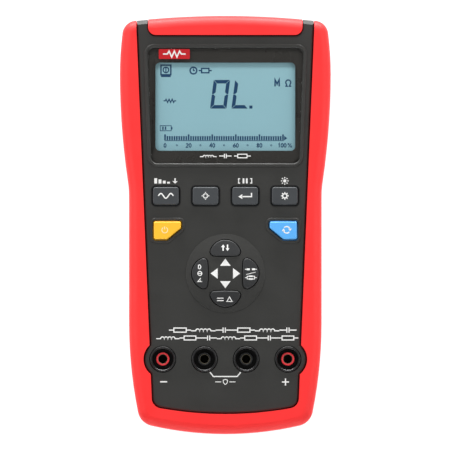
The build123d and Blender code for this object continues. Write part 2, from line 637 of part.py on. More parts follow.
def fasteners():
    write("case_screws", *[screw(x, y, 2.6, 1.2, (5.5, 8.0, 30.0)) for x, y in mirrored(CASE_SCREWS)])
    board_z = BOARD_Z[0]
    write("board_screws",
          *[screw(x, y, 2.0, 0.85, (board_z - 1.3, board_z, 34.0)) for x, y in mirrored(BOARD_SCREWS)])
    feet = [disc(x, y, 5.0, FEET_Z, BACK_Z + 0.8) for x, y in mirrored(FEET)]
    write("rubber_feet", *[fillet(edges_at(f, FEET_Z), 0.5) for f in feet])
    write("rating_label", prism(Pos(0, -70.5) * RectangleRounded(40, 18, 1.5), BACK_Z - 0.15, BACK_Z))


def build():
    os.makedirs("parts", exist_ok=True)
    write("front_case", front_case())
    write("front_bumper", front_bumper())
    write("top_bumper", top_bumper())
    write("rear_case", rear_case())
    write("rear_bumper", rear_bumper())
    display()
    keypad()
    sockets()
    electronics()
    battery()
    battery_cover()
    tilt_stand()
    fasteners()


build()
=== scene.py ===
import json
import math

import bpy
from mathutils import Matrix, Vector


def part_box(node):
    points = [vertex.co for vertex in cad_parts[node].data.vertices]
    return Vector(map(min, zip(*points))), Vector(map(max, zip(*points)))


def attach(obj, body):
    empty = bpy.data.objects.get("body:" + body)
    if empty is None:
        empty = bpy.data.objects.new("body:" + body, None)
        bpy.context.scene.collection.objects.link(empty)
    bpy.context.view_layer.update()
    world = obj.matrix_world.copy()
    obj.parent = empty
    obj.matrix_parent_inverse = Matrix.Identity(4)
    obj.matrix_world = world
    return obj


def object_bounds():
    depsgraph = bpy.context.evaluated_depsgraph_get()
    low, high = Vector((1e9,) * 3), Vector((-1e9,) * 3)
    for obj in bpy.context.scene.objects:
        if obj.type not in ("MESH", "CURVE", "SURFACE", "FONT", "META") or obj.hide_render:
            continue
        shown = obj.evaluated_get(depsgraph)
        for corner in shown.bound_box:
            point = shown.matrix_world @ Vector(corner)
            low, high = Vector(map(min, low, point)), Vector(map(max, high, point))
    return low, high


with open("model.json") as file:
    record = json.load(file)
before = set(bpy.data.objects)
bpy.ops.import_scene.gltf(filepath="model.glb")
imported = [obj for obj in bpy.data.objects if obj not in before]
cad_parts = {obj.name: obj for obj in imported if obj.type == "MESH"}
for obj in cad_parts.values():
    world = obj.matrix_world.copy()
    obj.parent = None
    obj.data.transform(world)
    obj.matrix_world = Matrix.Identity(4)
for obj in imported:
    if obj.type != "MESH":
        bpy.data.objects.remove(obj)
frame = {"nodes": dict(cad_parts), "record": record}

# The looks of a handheld LCR meter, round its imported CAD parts. Prints, display marks and
# battery graphics are thin pieces laid on the CAD surfaces. Lengths below are in millimetres
# until a mesh is made.

MM = 0.001
CAD_BOX = [list(corner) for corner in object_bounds()]
NODES = frame["nodes"]
PRINT = 0.03  # thickness of a printed mark
SUNK = 0.02  # how far a mark reaches into the surface it lies on

scene = bpy.context.scene


def linear(hex_code):
    """A colour written as sRGB, such as "ff3b3b", as linear values."""
    parts = [int(hex_code[i : i + 2], 16) / 255 for i in (0, 2, 4)]
    return [c / 12.92 if c <= 0.04045 else ((c + 0.055) / 1.055) ** 2.4 for c in parts]


def span(node):
    """A node's lowest and highest corner in millimetres."""
    low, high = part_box(node)
    return low / MM, high / MM


def middle(node):
    low, high = span(node)
    return (low + high) / 2


# ---------------------------------------------------------------- materials
EDGE_WIDTH = 0.3  # how far the edge wear and painted edge highlight reach in from an edge
MOTTLE_SIZE = 17.0  # of the faint patches in a moulded colour
EDGE_PATCH_SIZE = 2.4  # of the patches where an edge is worn more and its painted highlight is stronger
GLOSS_SIZE = 9.0  # of the patches where the gloss differs
SMUDGE = 0.06  # how far the gloss differs
TARNISH_SIZE = 3.0
SHADE_DEPTH = 0.6  # over this height bright metal turns dark, painted shade down a bore
LENS_MIRROR = 0.015  # share of light that a clear sheet mirrors, seen straight on
LENS_ROUGH = 0.03
INK_ROUGH = 0.45
PIXEL = 0.33  # pitch of the display's faint pixels
TRACK = 5.0  # pitch of the board's tracks


class Nodes:
    """Builds a material's node tree."""

    def __init__(self, name):
        self.material = bpy.data.materials.new(name)
        self.material.use_nodes = True
        self.tree = self.material.node_tree
        self.tree.nodes.clear()
        self.output = self.tree.nodes.new("ShaderNodeOutputMaterial")
        self.place = self.tree.nodes.new("ShaderNodeTexCoord").outputs["Object"]

    def add(self, kind, inputs=None, **settings):
        node = self.tree.nodes.new(kind)
        for key, value in settings.items():
            setattr(node, key, value)
        for key, value in (inputs or {}).items():
            socket = node.inputs[key]
            if isinstance(value, bpy.types.NodeSocket):
                self.tree.links.new(value, socket)
            else:
                socket.default_value = value
        return node

    def noise(self, size, detail=3.0, rough=0.5, stretch=None):
        """Noise whose lumps are about size millimetres across."""
        place = self.place
        if stretch:
            place = self.add("ShaderNodeMapping", {"Vector": place, "Scale": stretch}).outputs[0]
        inputs = {"Vector": place, "Scale": 1 / (size * MM), "Detail": detail, "Roughness": rough}
        return self.add("ShaderNodeTexNoise", inputs).outputs["Fac"]

    def spread(self, value, low, high, start=0.3, end=0.7):
        """The value from start to end, spread from low to high."""
        inputs = {"Value": value, "From Min": start, "From Max": end, "To Min": low, "To Max": high}
        return self.add("ShaderNodeMapRange", inputs).outputs[0]

    def mix(self, factor, a, b):
        """Colour a where the factor is 0, colour b where it is 1."""
        node = self.add("ShaderNodeMix", data_type="RGBA")
        for socket, value in ((node.inputs[0], factor), (node.inputs[6], a), (node.inputs[7], b)):
            if isinstance(value, bpy.types.NodeSocket):
                self.tree.links.new(value, socket)
            elif isinstance(value, (int, float)):
                socket.default_value = value
            else:
                socket.default_value = [*value, 1.0]
        return node.outputs[2]

    def edges(self):
        """1 on edges and 0 on open surfaces, from how far a rounded normal turns from the true one."""
        soft = self.add("ShaderNodeBevel", {"Radius": EDGE_WIDTH * MM}, samples=4).outputs[0]
        true = self.add("ShaderNodeNewGeometry").outputs["Normal"]
        turn = self.add("ShaderNodeVectorMath", {0: soft, 1: true}, operation="DOT_PRODUCT").outputs["Value"]
        return self.spread(turn, 1.0, 0.0, 0.75, 0.98)

    def bump(self, *layers):
        """Bumps stacked on each other, each a height from 0 to 1 and its depth in millimetres."""
        normal = None
        for height, depth in layers:
            inputs = {"Height": height, "Distance": depth * MM, "Strength": 1.0}
            if normal is not None:
                inputs["Normal"] = normal
            normal = self.add("ShaderNodeBump", inputs).outputs[0]
        return normal

    def finish(self, shader):
        self.tree.links.new(shader, self.output.inputs["Surface"])
        return self.material


def moulded(name, colour, rough=0.5, grain=0.35, depth=0.02, mottle=0.08, wear_and_highlight=0.0, worn_and_lit=None,
            specular=0.5, coat=0.0):
    """A moulded or painted surface: fine grain, faint mottling, uneven gloss, and lighter edges, part wear
    and part painted highlight.
    """
    n = Nodes(name)
    base = linear(colour)
    dark = [c * (1 - mottle) for c in base]
    light = [min(1.0, c * (1 + mottle)) for c in base]
    tint = n.mix(n.noise(MOTTLE_SIZE, 4.0), dark, light)
    tint = n.mix(n.spread(n.noise(grain * 1.7, 2.0), 0.0, mottle), tint, [c * 0.5 for c in base])
    # Lighter edges, hollow edges too: part wear, part painted highlight like the light lines that lamps draw
    # along edges.
    if wear_and_highlight:
        rubbed_and_lit = n.add("ShaderNodeMath", {0: n.edges(), 1: n.spread(n.noise(EDGE_PATCH_SIZE, 5.0), 0.2, 1.0)},
                       operation="MULTIPLY").outputs[0]
        amount = n.spread(rubbed_and_lit, 0.0, wear_and_highlight, 0.0, 1.0)
        tint = n.mix(amount, tint, linear(worn_and_lit) if worn_and_lit else [min(1, c * 2.6 + 0.05) for c in base])
    gloss = n.spread(n.noise(GLOSS_SIZE, 5.0, 0.6), max(0.02, rough - SMUDGE), min(1.0, rough + SMUDGE))
    relief = n.bump((n.noise(grain, 2.0), depth), (n.noise(grain * 22, 2.0), depth * 1.5))
    shader = n.add("ShaderNodeBsdfPrincipled", {
        "Base Color": tint, "Roughness": gloss, "Specular IOR Level": specular,
        "Coat Weight": coat, "Coat Roughness": 0.1, "Normal": relief})
    return n.finish(shader.outputs[0])


def brushed(name, colour, rough=0.3, along=(1, 1, 18), shaded_below=None):
    """Turned or drawn metal, with fine lines and a little tarnish, and painted shade below a height, dark
    down a bore.
    """
    n = Nodes(name)
    base = linear(colour)
    lines = n.noise(1.6, 3.0, 0.6, along)
    tint = n.mix(lines, [c * 0.85 for c in base], [min(1, c * 1.08) for c in base])
    tint = n.mix(n.spread(n.noise(TARNISH_SIZE, 5.0), 0.0, 0.35, 0.5, 0.75), tint, [c * 0.55 for c in base])
    # Painted shade: below the given height the metal turns nearly black, standing in for the shade down a
    # socket's bore.
    if shaded_below:
        height = n.add("ShaderNodeSeparateXYZ", {0: n.place}).outputs[2]
        shade_start = (shaded_below - SHADE_DEPTH) * MM
        bore_shade = n.spread(height, 1.0, 0.0, shade_start, shaded_below * MM)
        tint = n.mix(bore_shade, tint, [c * 0.08 for c in base])
    gloss = n.spread(lines, rough - 0.08, rough + 0.12)
    shader = n.add("ShaderNodeBsdfPrincipled", {
        "Base Color": tint, "Roughness": gloss, "Metallic": 1.0,
        "Normal": n.bump((lines, 0.006), (n.noise(0.4, 2.0), 0.005))})
    return n.finish(shader.outputs[0])


def clear(name, tint):
    """A thin clear sheet: what is behind it shows unbent, and it mirrors a little, more at a slant."""
    n = Nodes(name)
    smears = n.spread(n.noise(11.0, 5.0, 0.65), LENS_ROUGH, LENS_ROUGH + 0.05, 0.45, 0.75)
    through = n.add("ShaderNodeBsdfTransparent", {"Color": [*tint, 1.0]})
    relief = n.bump((n.noise(30.0, 1.0), 0.01))
    shine = n.add("ShaderNodeBsdfGlossy", {"Roughness": smears, "Normal": relief})
    slant = n.add("ShaderNodeLayerWeight", {"Blend": 0.5}).outputs["Facing"]
    steep = n.add("ShaderNodeMath", {0: slant, 1: 4.0}, operation="POWER").outputs[0]
    weight = n.spread(steep, LENS_MIRROR, 1.0, 0.0, 1.0)
    both = n.add("ShaderNodeMixShader", {0: weight, 1: through.outputs[0], 2: shine.outputs[0]})
    return n.finish(both.outputs[0])


def printed(name, colour, patchy=0.06):
    """Screen-printed ink: nearly even, with a slight grain where it took unevenly."""
    n = Nodes(name)
    base = linear(colour)
    tint = n.mix(n.spread(n.noise(0.5, 3.0), 0.0, 1.0), base, [c * (1 - 2 * patchy) for c in base])
    gloss = n.spread(n.noise(1.3, 2.0), INK_ROUGH - 0.08, INK_ROUGH + 0.08)
    shader = n.add("ShaderNodeBsdfPrincipled", {
        "Base Color": tint, "Roughness": gloss, "Normal": n.bump((n.noise(0.25, 2.0), 0.006))})
    return n.finish(shader.outputs[0])


def display_glass(name):
    """The face of the liquid crystal: pale blue-grey, a touch lighter towards its top as painted light from
    the display end, faint pixels.
    """
    n = Nodes(name)
    low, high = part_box("lcd_glass")
    split = n.add("ShaderNodeSeparateXYZ", {0: n.place})
    # Painted light: lighter towards the top, where light from the display end falls.
    rise = n.add("ShaderNodeMapRange", {"Value": split.outputs[1], "From Min": low.y, "From Max": high.y})
    tint = n.mix(rise.outputs[0], linear("9dc7d2"), linear("a4cfd9"))
    tint = n.mix(n.spread(n.noise(26.0, 2.0), 0.0, 0.10), tint, linear("8fb7c2"))
    grid = n.add("ShaderNodeTexVoronoi", {"Vector": n.place, "Scale": 1 / (PIXEL * MM)}, distance="CHEBYCHEV")
    tint = n.mix(n.spread(grid.outputs["Distance"], 0.0, 0.05, 0.3, 0.6), tint, linear("7aa1ad"))
    shader = n.add("ShaderNodeBsdfPrincipled", {
        "Base Color": tint, "Roughness": n.spread(n.noise(4.0), 0.3, 0.4), "Specular IOR Level": 0.3,
        "Normal": n.bump((n.noise(0.6, 2.0), 0.004))})
    return n.finish(shader.outputs[0])


def board_mask(name):
    """Solder mask over copper tracks."""
    n = Nodes(name)
    tracks = n.add("ShaderNodeTexBrick", {
        "Vector": n.place, "Scale": 1 / (TRACK * MM), "Mortar Size": 0.035,
        "Color1": (0, 0, 0, 1), "Color2": (0, 0, 0, 1), "Mortar": (1, 1, 1, 1)})
    tint = n.mix(tracks.outputs["Color"], linear("1d5c34"), linear("2b7a45"))
    tint = n.mix(n.noise(8.0, 3.0), tint, linear("17502c"))
    shader = n.add("ShaderNodeBsdfPrincipled", {
        "Base Color": tint, "Roughness": n.spread(n.noise(3.0), 0.2, 0.4),
        "Normal": n.bump((tracks.outputs["Fac"], 0.03), (n.noise(0.4), 0.01))})
    return n.finish(shader.outputs[0])


def striped(name, colour_a, colour_b, pitch):
    """Silicone with conducting layers."""
    n = Nodes(name)
    wave = n.add("ShaderNodeTexWave", {
        "Vector": n.place, "Scale": 1 / (pitch * MM) / 3.0, "Distortion": 0.3})
    tint = n.mix(wave.outputs["Fac"], linear(colour_a), linear(colour_b))
    shader = n.add("ShaderNodeBsdfPrincipled", {
        "Base Color": tint, "Roughness": n.spread(n.noise(1.0), 0.5, 0.7),
        "Normal": n.bump((wave.outputs["Fac"], 0.02))})
    return n.finish(shader.outputs[0])


# Where a finish lightens its edges, that is part wear and part painted highlight.
MATERIALS = {
    "case": moulded("case", "2f2f2d", rough=0.5, grain=0.32, depth=0.05, wear_and_highlight=0.5, specular=0.4),
    "bumper": moulded("bumper", "fb2f2f", rough=0.5, grain=0.5, depth=0.012, mottle=0.03, wear_and_highlight=0.15,
                      worn_and_lit="ff7a76", specular=0.35),
    "border": moulded("border", "383532", rough=0.3, grain=0.6, depth=0.003, mottle=0.05, specular=0.4),
    "gasket": moulded("gasket", "101010", rough=0.9, grain=0.3, depth=0.03),
    "badge": moulded("badge", "c4101c", rough=0.35, grain=0.4, depth=0.004, mottle=0.05, coat=0.3),
    "holder": moulded("holder", "26272a", rough=0.6, grain=0.4, depth=0.02),
    "light_guide": moulded("light_guide", "dfe6e8", rough=0.25, grain=0.8, depth=0.01),
    "key_dark": moulded("key_dark", "3d4043", rough=0.45, grain=0.3, depth=0.012, wear_and_highlight=0.8,
                        worn_and_lit="8b9096", specular=0.45),
    "pad_key": moulded("pad_key", "2b2c2d", rough=0.45, grain=0.3, depth=0.012, wear_and_highlight=0.5, specular=0.45),
    "key_yellow": moulded("key_yellow", "fbbf2e", rough=0.42, grain=0.3, depth=0.008, mottle=0.04, wear_and_highlight=0.2),
    "key_blue": moulded("key_blue", "5aaef2", rough=0.42, grain=0.3, depth=0.008, mottle=0.04, wear_and_highlight=0.2),
    "silicone": moulded("silicone", "b4b6b6", rough=0.6, grain=0.5, depth=0.02),
    "carbon": moulded("carbon", "141414", rough=0.8, grain=0.2, depth=0.02),
    "epoxy": moulded("epoxy", "17171a", rough=0.55, grain=0.2, depth=0.012),
    "capacitor": moulded("capacitor", "1b1f4a", rough=0.3, grain=0.8, depth=0.006, coat=0.3),
    "resistor": moulded("resistor", "7fb4d6", rough=0.35, grain=0.5, depth=0.01, coat=0.2),
    "socket_black": moulded("socket_black", "131314", rough=0.4, grain=0.3, depth=0.008, wear_and_highlight=0.4),
    "socket_red": moulded("socket_red", "f23c44", rough=0.35, grain=0.3, depth=0.006, mottle=0.04),
    "jacket": moulded("jacket", "1a1b1e", rough=0.3, grain=0.7, depth=0.006, coat=0.4),
    "snap_cover": moulded("snap_cover", "1b1b1b", rough=0.5, grain=0.4, depth=0.02),
    "wire": moulded("wire", "c01818", rough=0.4, grain=0.5, depth=0.01),
    "foam": moulded("foam", "202020", rough=0.95, grain=0.35, depth=0.08),
    "foot": moulded("foot", "161616", rough=0.8, grain=0.35, depth=0.03, wear_and_highlight=0.3),
    "label": moulded("label", "b9bbbb", rough=0.4, grain=0.9, depth=0.004, mottle=0.04),
    "steel": brushed("steel", "b9bbc0", rough=0.32),
    "tin": brushed("tin", "c9ccd0", rough=0.35, along=(14, 1, 1)),
    "nickel": brushed("nickel", "a8a08a", rough=0.35, shaded_below=35.9),
    "lens": clear("lens", (0.97, 0.98, 0.98)),
    "fuse_glass": clear("fuse_glass", (0.9, 0.93, 0.9)),
    "lcd": display_glass("lcd"),
    "board": board_mask("board"),
    "elastomer": striped("elastomer", "c9a2a2", "2a2a2a", 0.2),
    "ink_white": printed("ink_white", "f4f4f2"),
    "ink_grey": printed("ink_grey", "c9cbca"),
    "ink_pale": printed("ink_pale", "ffe9b8"),
    "ink_dark": printed("ink_dark", "26282b"),
    "ink_gold": printed("ink_gold", "c99a3c"),
    # Painted shade, laid in the gaps round the rectangular keys.
    "gap_shade": printed("gap_shade", "0a0a0a", patchy=0.03),
    "segment": printed("segment", "00406a", patchy=0.03),
}

FINISH = {
    "case": ["front_case", "rear_case", "battery_cover", "tilt_stand"],
    "bumper": ["front_bumper", "top_bumper", "rear_bumper"],
    "border": ["window_mask"],
    "gasket": ["window_gasket"],
    "badge": ["nameplate"],
    "holder": ["lcd_holder"],
    "light_guide": ["backlight_panel"],
    "key_dark": ["frequency_key", "calibration_key", "enter_key", "setup_key"],
    "pad_key": ["up_key", "left_key", "down_key", "right_key"],
    "key_yellow": ["power_key"],
    "key_blue": ["function_key"],
    "silicone": ["keypad_mat"],
    "carbon": ["key_contacts"],
    "epoxy": ["measuring_chip", "controller_chip", "buzzer"],
    "capacitor": ["electrolytic_capacitors"],
    "resistor": ["range_resistors"],
    "socket_black": ["socket_shroud_minus", "socket_shroud_guard_left", "socket_shroud_guard_right",
                     "socket_shroud_plus", "socket_sleeve_guard_left", "socket_sleeve_guard_right"],
    "socket_red": ["socket_sleeve_minus", "socket_sleeve_plus"],
    "jacket": ["battery"],
    "snap_cover": ["battery_snap"],
    "wire": ["battery_leads"],
    "foam": ["battery_pad"],
    "foot": ["rubber_feet"],
    "label": ["rating_label"],
    "steel": ["battery_cover_screw", "stand_hinge_pin", "case_screws", "board_screws"],
    "tin": ["shield_can", "crystal", "usb_socket"],
    "nickel": ["socket_contact_minus", "socket_contact_guard_left", "socket_contact_guard_right",
               "socket_contact_plus"],
    "lens": ["display_window"],
    "fuse_glass": ["input_fuses"],
    "lcd": ["lcd_glass"],
    "board": ["main_board"],
    "elastomer": ["elastomer_connectors"],
}
for material, names in FINISH.items():
    for name in names:
        NODES[name].data.materials.clear()
        NODES[name].data.materials.append(MATERIALS[material])


# ---------------------------------------------------------------- flat shapes, in millimetres
def turned(points, degrees):
    c, s = math.cos(math.radians(degrees)), math.sin(math.radians(degrees))
    return [(x * c - y * s, x * s + y * c) for x, y in points]


def moved(shapes, dx=0.0, dy=0.0, scale=1.0, turn=0.0, slant=0.0):
    """Shapes scaled, slanted, turned and then moved."""
    out = []
    for shape in shapes:
        points = [((x + y * slant) * scale, y * scale) for x, y in shape]
        out.append([(x + dx, y + dy) for x, y in turned(points, turn)])
    return out


def bar(a, b, width):
    """A straight stroke."""
    return band([a, b], width)


def band(points, width, closed=False):
    """A stroke of even width along points, one four-sided shape per stretch, joined at mitres."""
    count = len(points)
    left, right = [], []
    for i, (x, y) in enumerate(points):
        before = points[i - 1] if i or closed else None
        after = points[(i + 1) % count] if i < count - 1 or closed else None
        ways = []
        if before is not None:
            ways.append((x - before[0], y - before[1]))
        if after is not None:
            ways.append((after[0] - x, after[1] - y))
        units = [(u / math.hypot(u, v), v / math.hypot(u, v)) for u, v in ways]
        tx, ty = sum(u for u, v in units), sum(v for u, v in units)
        length = math.hypot(tx, ty)
        tx, ty = tx / length, ty / length
        reach = width / 2 / max(0.3, tx * units[0][0] + ty * units[0][1])
        left.append((x - ty * reach, y + tx * reach))
        right.append((x + ty * reach, y - tx * reach))
    stretches = range(count if closed else count - 1)
    return [[left[i], right[i], right[(i + 1) % count], left[(i + 1) % count]] for i in stretches]


def arc(centre, radius, start, end, steps=12):
    """Points on an arc, angles in degrees."""
    angles = [math.radians(start + (end - start) * i / steps) for i in range(steps + 1)]
    return [(centre[0] + radius * math.cos(a), centre[1] + radius * math.sin(a)) for a in angles]


def ring(centre, radius, width, steps=28):
    """A stroke round a circle."""
    return band(arc(centre, radius, 0, 360, steps)[:-1], width, closed=True)


def dot(centre, radius):
    return [arc(centre, radius, 0, 360, 20)[:-1]]


def box_shape(low, high):
    return [[low, (high[0], low[1]), high, (low[0], high[1])]]


CORNERS = [(1, 1), (-1, 1), (-1, -1), (1, -1)]  # anticlockwise from the upper right


def rounded_loop(size, radius):
    """Points round a box with round corners, centred on the origin."""
    x, y = size[0] / 2 - radius, size[1] / 2 - radius
    points = []
    for i, (sx, sy) in enumerate(CORNERS):
        points += arc((sx * x, sy * y), radius, 90 * i, 90 * i + 90, 6)
    return points


def outline_box(centre, size, width):
    """A stroke round a box with sharp corners."""
    x, y = size[0] / 2, size[1] / 2
    return band([(centre[0] + sx * x, centre[1] + sy * y) for sx, sy in CORNERS], width, closed=True)


def fan(points):
    """A shape cut into small pieces about its middle, so that it can follow a curved surface."""
    rings, cuts = 3, 4
    cx = sum(x for x, y in points) / len(points)
    cy = sum(y for x, y in points) / len(points)
    rim = []
    for (ax, ay), (bx, by) in zip(points, points[1:] + points[:1]):
        rim += [(ax + (bx - ax) * i / cuts, ay + (by - ay) * i / cuts) for i in range(cuts)]
    pieces = []
    for (ax, ay), (bx, by) in zip(rim, rim[1:] + rim[:1]):
        for k in range(rings):
            f, g = k / rings, (k + 1) / rings
            inner = [(cx + (bx - cx) * f, cy + (by - cy) * f), (cx + (ax - cx) * f, cy + (ay - cy) * f)]
            outer = [(cx + (ax - cx) * g, cy + (ay - cy) * g), (cx + (bx - cx) * g, cy + (by - cy) * g)]
            pieces.append(outer + (inner if k else inner[:1]))
    return pieces


# ---------------------------------------------------------------- laying shapes on surfaces
def lay(name, shapes, height, material, body, up=1):
    """A thin solid of each shape on a surface: height is a number, or gives the height at x and y."""
    rise = height if callable(height) else lambda x, y: height
    places, order, faces, walls = {}, [], [], {}
    for shape in shapes:
        area = sum(a[0] * b[1] - b[0] * a[1] for a, b in zip(shape, shape[1:] + shape[:1]))
        ring_points = shape if area > 0 else shape[::-1]
        face = []
        for x, y in ring_points:
            key = (round(x, 4), round(y, 4))
            if key not in places:
                places[key] = len(order)
                order.append((x, y))
            if not face or face[-1] != places[key]:
                face.append(places[key])
        if face[0] == face[-1]:
            face.pop()
        faces.append(face)
        for a, b in zip(face, face[1:] + face[:1]):
            if (b, a) in walls:
                del walls[(b, a)]
            else:
                walls[(a, b)] = True
    count = len(order)
    tops = [(x * MM, y * MM, (rise(x, y) + up * PRINT) * MM) for x, y in order]
    feet = [(x * MM, y * MM, (rise(x, y) - up * SUNK) * MM) for x, y in order]
    solid = [f if up > 0 else f[::-1] for f in faces]
    solid += [[i + count for i in (f[::-1] if up > 0 else f)] for f in faces]
    for a, b in walls:
        wall = [a, a + count, b + count, b]
        solid.append(wall if up > 0 else wall[::-1])
    mesh = bpy.data.meshes.new(name)
    mesh.from_pydata(tops + feet, [], solid)
    mesh.update()
    piece = bpy.data.objects.new(name, mesh)
    scene.collection.objects.link(piece)
    mesh.materials.append(MATERIALS[material])
    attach(piece, body)
    return piece


# ---------------------------------------------------------------- icons, about 2 mm tall, centred
STROKE = 0.42


def wave_icon(width=6.8):
    swing, periods, steps = 1.1, 1.5, 30
    line = [(-width / 2 + width * i / steps, swing * math.sin(2 * math.pi * periods * i / steps))
            for i in range(steps + 1)]
    return band(line, 0.55)


def target_icon():
    shapes = ring((0, 0), 1.0, STROKE)
    for i in range(4):
        shapes += moved(bar((0.6, 0), (1.75, 0), STROKE), turn=90 * i)
    return shapes


def return_icon():
    shapes = band([(2.9, 1.35), (2.9, -0.35), (-1.6, -0.35)], 0.55)
    return shapes + [[(-3.1, -0.35), (-1.3, -1.45), (-1.3, 0.75)]]


def gear_icon():
    shapes = ring((0, 0), 0.98, 0.55)
    for i in range(8):
        shapes += moved(bar((1.15, 0), (1.75, 0), 0.5), turn=45 * i)
    return shapes


def sort_icon():
    shapes, left, foot, pitch, wide = [], -5.3, -1.2, 1.95, 1.3
    for i, tall in enumerate((2.4, 1.85, 1.3, 0.8)):
        shapes += box_shape((left + pitch * i, foot), (left + wide + pitch * i, foot + tall))
    shapes += bar((4.2, 1.2), (4.2, -0.2), 0.6)
    return shapes + [[(3.0, -0.1), (4.2, -1.25), (5.4, -0.1)]]


def pause_icon():
    shapes = box_shape((-1.15, -1.15), (-0.35, 1.15)) + box_shape((0.35, -1.15), (1.15, 1.15))
    for side in (-1, 1):
        shapes += band([(side * 2.3, 1.0), (side * 3.0, 1.0), (side * 3.0, -1.0), (side * 2.3, -1.0)], 0.45)
    return shapes


def sun_icon():
    shapes = dot((0, 0), 0.75)
    for i in range(8):
        shapes += moved(bar((1.15, 0), (1.75, 0), STROKE), turn=45 * i)
    return shapes


def power_icon():
    radius = 1.25
    shapes = band(arc((0, 0), radius, 122, 418, 26), 0.36)
    return shapes + bar((0, 0.25), (0, radius + 0.3), 0.36)


def cycle_icon():
    shapes = []
    for side in (0, 180):
        shapes += moved(band(arc((0, 0), 1.15, 15, 140, 12), 0.4), turn=side)
        shapes += moved([[(0.55, 0.42), (1.75, 0.42), (1.15, -0.5)]], turn=side)
    return shapes


def transfer_icon():
    shapes = bar((-0.75, -1.05), (-0.75, 0.3), STROKE) + [[(-1.4, 0.2), (-0.1, 0.2), (-0.75, 1.1)]]
    return shapes + moved(shapes, turn=180)


def angle_icon():
    shapes = band([(1.0, -0.7), (-0.9, -0.7), (0.45, 0.85)], 0.32)
    return shapes + band(arc((-0.9, -0.7), 1.25, 4, 45, 6), 0.25)


def slashed_ring_icon():
    return ring((0, 0), 0.72, 0.3, 20) + bar((-0.6, 0), (0.6, 0), 0.26)


def loss_icon():
    return band(arc((-0.35, 0), 0.75, -90, 90, 10), 0.32) + bar((-0.5, 0.75), (-0.5, -0.75), 0.32)


def series_icon():
    shapes = box_shape((-2.3, -0.5), (-0.55, 0.5)) + box_shape((0.55, -0.5), (2.3, 0.5))
    return shapes + bar((-3.2, 0), (3.2, 0), 0.36)


def parallel_icon():
    shapes = box_shape((-0.95, 0.3), (0.95, 1.05)) + box_shape((-0.95, -1.05), (0.95, -0.3))
    stroke, branch = 0.36, 0.68
    for side in (-1, 1):
        inner, outer = side * 0.9, side * 1.75
        shapes += band([(inner, branch), (outer, branch), (outer, -branch), (inner, -branch)], stroke)
        shapes += bar((outer, 0), (side * 2.8, 0), stroke)
    return shapes


def delta_icon():
    return band([(0, 1.0), (-1.1, -0.85), (1.1, -0.85)], 0.34, closed=True)


def balance_icon():
    return bar((-1.2, 0.45), (1.2, 0.45), 0.34) + bar((-1.2, -0.45), (1.2, -0.45), 0.34)


def shield_icon():
    side = [(0.95, 0.85), (0.95, -0.1), (0.6, -0.75), (0, -1.2)]
    points = [(0, 1.15), (0.5, 0.95)] + side
    return band(points + [(-x, y) for x, y in reversed(points[1:-1])], 0.32, closed=True)


def plus_shape(reach, width):
    """A plus sign, as one bar across and two half bars that meet it."""
    half = width / 2
    across = bar((-reach, 0), (reach, 0), width)
    return across + box_shape((-half, half), (half, reach)) + box_shape((-half, -reach), (half, -half))


SIGN_STROKE = 0.44


def resistor_sign(width, tall=1.7, stroke=SIGN_STROKE):
    body = width * 0.56
    shapes = outline_box((0, 0), (body, tall), stroke)
    for side in (-1, 1):
        shapes += bar((side * (body / 2 + stroke / 2), 0), (side * width / 2, 0), stroke)
    return shapes


def capacitor_sign(width):
    shapes, tall = [], 2.1
    for side in (-1, 1):
        shapes += bar((side * 0.45, tall / 2), (side * 0.45, -tall / 2), SIGN_STROKE)
        shapes += bar((side * 0.62, 0), (side * width / 2, 0), SIGN_STROKE)
    return shapes


def inductor_sign(width):
    turns, coil = 4, 0.62  # coil is the share of the width that the turns fill
    radius = width * coil / (2 * turns)
    line = [(-width / 2, 0)]
    for i in range(turns):
        centre = (-width * coil / 2 + radius * (2 * i + 1), 0)
        line += arc(centre, radius, 180, 0, 8)
    line.append((width / 2, 0))
    clean = [line[0]]
    for point in line[1:]:
        if math.dist(point, clean[-1]) > 1e-4:
            clean.append(point)
    return moved(band(clean, SIGN_STROKE), dy=-0.3)


def circuit_line(signs, gap=0.0):
    """Component signs in a row, centred, each given as its shapes and width."""
    total = sum(width for _, width in signs) + gap * (len(signs) - 1)
    x, shapes = -total / 2, []
    for drawn, width in signs:
        shapes += moved(drawn, x + width / 2)
        x += width + gap
    return shapes


# ---------------------------------------------------------------- prints on the panel
lens_low, lens_high = span("display_window")
FACE = lens_high.z + 0.3  # the lens lies 0.3 mm below the panel
LEGEND_UP = 6.85  # from a key's middle to the sign above it
UPPER_UP, LOWER_UP = 13.3, 9.7  # from the sockets to the two rows of component signs
SIGN_DOWN = 10.3  # from the sockets to the signs below them


def on_panel(name, shapes, x, y, material="ink_white", scale=1.0, height=FACE):
    return lay(name, moved(shapes, x, y, scale), height, material, "meter")


KEY_ROW = ["frequency_key", "calibration_key", "enter_key", "setup_key"]
row = [middle(name) for name in KEY_ROW]

# Painted shade: a black band round the opening of each rectangular key, just clear of its edge, where the gap
# round the key lies in shade.
OPENING = (12.7, 8.9)
OPENING_R = 1.7
SHADE_BAND, CLEAR = 0.4, 0.05
for name, key_mid in zip(KEY_ROW, row):
    size = [side + SHADE_BAND + 2 * CLEAR for side in OPENING]
    loop = rounded_loop(size, OPENING_R + SHADE_BAND / 2 + CLEAR)
    on_panel(f"line_{name}", band(loop, SHADE_BAND, closed=True), key_mid.x, key_mid.y, "gap_shade")

legend_y = row[0].y + LEGEND_UP
on_panel("legend_sorting", sort_icon(), row[0].x, legend_y)
on_panel("legend_hold", pause_icon(), row[2].x, legend_y)
on_panel("legend_light", sun_icon(), row[3].x, legend_y)


def on_key(name, shapes, node, material="ink_white", scale=1.0, dx=0.0, dy=0.0):
    low, high = span(node)
    centre = (low + high) / 2
    return lay(name, moved(shapes, centre.x + dx, centre.y + dy, scale), high.z, material, node)


